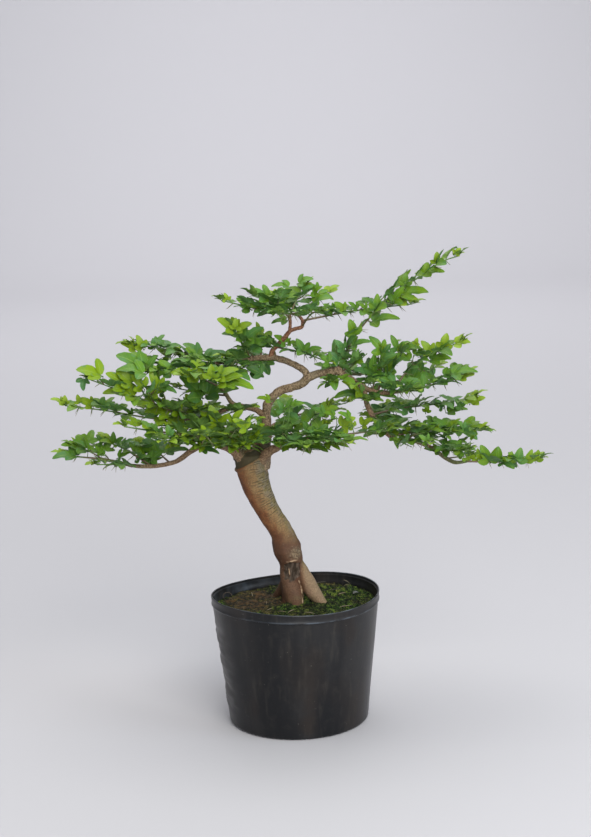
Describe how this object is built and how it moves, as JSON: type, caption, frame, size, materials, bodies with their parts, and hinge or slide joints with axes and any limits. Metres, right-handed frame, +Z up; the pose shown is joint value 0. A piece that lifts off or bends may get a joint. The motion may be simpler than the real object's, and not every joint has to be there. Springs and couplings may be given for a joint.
{
  "type": "potted bonsai tree",
  "caption": "Small spreading bonsai with a leaning trunk, trifoliate leaves and thorns, planted in a round tapered nursery pot.",
  "frame": {"origin": "centre of the pot's underside, on the plane that the part stands on", "axes": "+Z up, -Y towards the front, +X to the right as seen from the front, along the crown's widest spread"},
  "size_m": [0.6217, 0.2801, 0.5959],
  "materials": {
    "pot": "satin",
    "soil": "matte",
    "moss": "matte",
    "wood": "matte",
    "leaf": "satin"
  },
  "bodies": {
    "root": {"nursery_pot": "pot", "soil": "soil", "moss": "moss", "tree_wood": "wood", "spray_apex_left": "leaf", "spray_apex_right": "leaf", "spray_apex_back_right": "leaf", "spray_apex_top": "leaf", "spray_apex_left_top": "leaf", "spray_apex_front": "leaf", "spray_apex_front_right": "leaf", "spray_apex_back": "leaf", "spray_riser": "leaf", "spray_veil": "leaf", "spray_crown_left": "leaf", "spray_crown_back": "leaf", "spray_crown_front": "leaf", "spray_upper_back": "leaf", "spray_upper_end": "leaf", "spray_upper_front": "leaf", "spray_upper_mid": "leaf", "spray_upper_near": "leaf", "spray_upper_far": "leaf", "spray_second": "leaf", "spray_second_back": "leaf", "spray_second_low": "leaf", "spray_long": "leaf", "spray_front_end": "leaf", "spray_front_near": "leaf", "spray_front_mid": "leaf", "spray_front_in": "leaf", "spray_front_back": "leaf", "spray_low_end": "leaf", "spray_low_up": "leaf", "spray_low_front": "leaf", "spray_low_back": "leaf", "spray_centre_end": "leaf", "spray_centre_near": "leaf", "spray_centre_front": "leaf", "spray_centre_top": "leaf", "spray_centre_in": "leaf", "spray_back_end": "leaf", "spray_back_far": "leaf", "spray_back_near": "leaf", "spray_back_left_end": "leaf", "spray_back_left_far": "leaf", "spray_reach": "leaf", "spray_lift": "leaf", "spray_lift_back": "leaf", "spray_reach_front": "leaf", "spray_reach_back": "leaf", "spray_reach_in": "leaf", "spray_tail": "leaf", "spray_drop_top": "leaf", "spray_drop_side": "leaf", "spray_drop_front": "leaf", "spray_drop_back": "leaf", "spray_drop_low": "leaf", "spray_knot": "leaf"}
  },
  "joints": []
}
